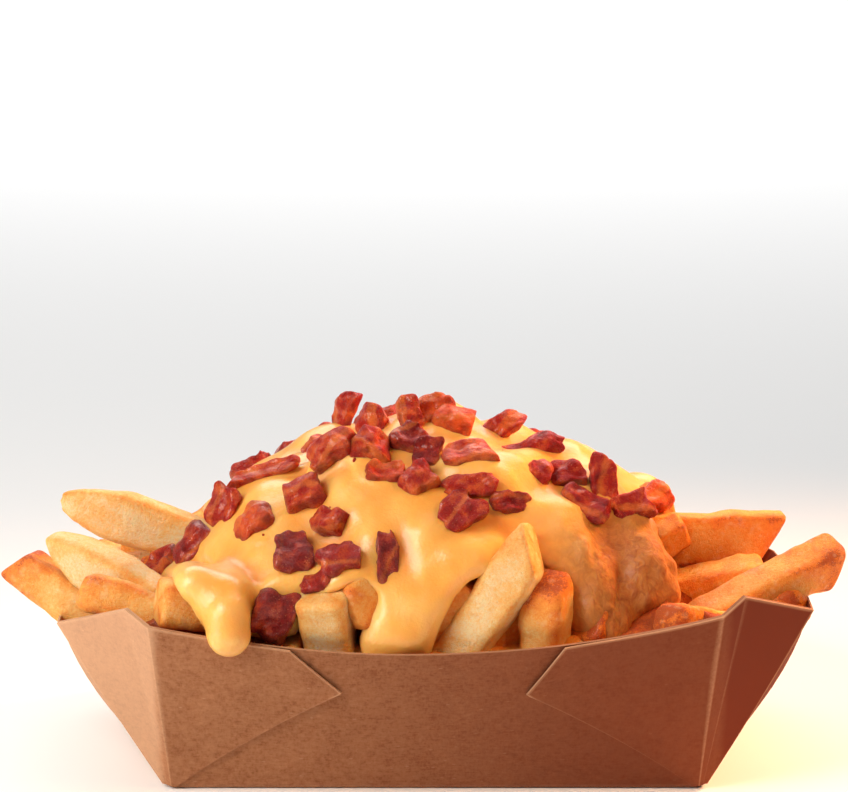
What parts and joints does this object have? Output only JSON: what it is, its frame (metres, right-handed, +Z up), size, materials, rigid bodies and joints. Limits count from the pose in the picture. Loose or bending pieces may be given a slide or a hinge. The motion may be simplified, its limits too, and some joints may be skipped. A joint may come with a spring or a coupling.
{
  "type": "loaded fries in a folded board tray",
  "caption": "thick-cut fries heaped in a folded kraft board boat tray, under a poured glossy cheese sauce with drips over the rim and crisp bacon bits on top",
  "frame": {"origin": "the centre of the tray's flat base, on the surface that the tray stands on", "axes": "+Z up, +X to the right along the tray's length as the picture shows it, +Y away from the side that the picture looks at"},
  "size_m": [0.2461, 0.1411, 0.1043],
  "materials": {
    "kraft_board": "matt unbleached board, with lighter cut edges",
    "fried_potato": "crisp fried crust, slightly oily",
    "cheese_sauce": "smooth wet gloss",
    "crisp_bacon": "oily, streaked lean and fat"
  },
  "bodies": {
    "root": {"tray": "kraft_board", "fries": "fried_potato", "cheese_sauce": "cheese_sauce", "bacon_01": "crisp_bacon", "bacon_02": "crisp_bacon", "bacon_03": "crisp_bacon", "bacon_04": "crisp_bacon", "bacon_05": "crisp_bacon", "bacon_06": "crisp_bacon", "bacon_07": "crisp_bacon", "bacon_08": "crisp_bacon", "bacon_09": "crisp_bacon", "bacon_10": "crisp_bacon", "bacon_11": "crisp_bacon", "bacon_12": "crisp_bacon", "bacon_13": "crisp_bacon", "bacon_14": "crisp_bacon", "bacon_15": "crisp_bacon", "bacon_16": "crisp_bacon", "bacon_17": "crisp_bacon", "bacon_18": "crisp_bacon", "bacon_19": "crisp_bacon", "bacon_20": "crisp_bacon", "bacon_21": "crisp_bacon", "bacon_22": "crisp_bacon", "bacon_23": "crisp_bacon", "bacon_24": "crisp_bacon", "bacon_25": "crisp_bacon", "bacon_26": "crisp_bacon", "bacon_27": "crisp_bacon", "bacon_28": "crisp_bacon", "bacon_29": "crisp_bacon", "bacon_30": "crisp_bacon", "bacon_31": "crisp_bacon", "bacon_32": "crisp_bacon", "bacon_33": "crisp_bacon", "bacon_34": "crisp_bacon", "bacon_35": "crisp_bacon", "bacon_36": "crisp_bacon", "bacon_37": "crisp_bacon", "bacon_38": "crisp_bacon", "bacon_39": "crisp_bacon", "bacon_40": "crisp_bacon", "bacon_41": "crisp_bacon", "bacon_42": "crisp_bacon", "bacon_43": "crisp_bacon", "bacon_44": "crisp_bacon", "bacon_45": "crisp_bacon", "bacon_46": "crisp_bacon", "bacon_47": "crisp_bacon", "bacon_48": "crisp_bacon", "bacon_49": "crisp_bacon", "bacon_50": "crisp_bacon", "bacon_51": "crisp_bacon"}
  },
  "joints": []
}
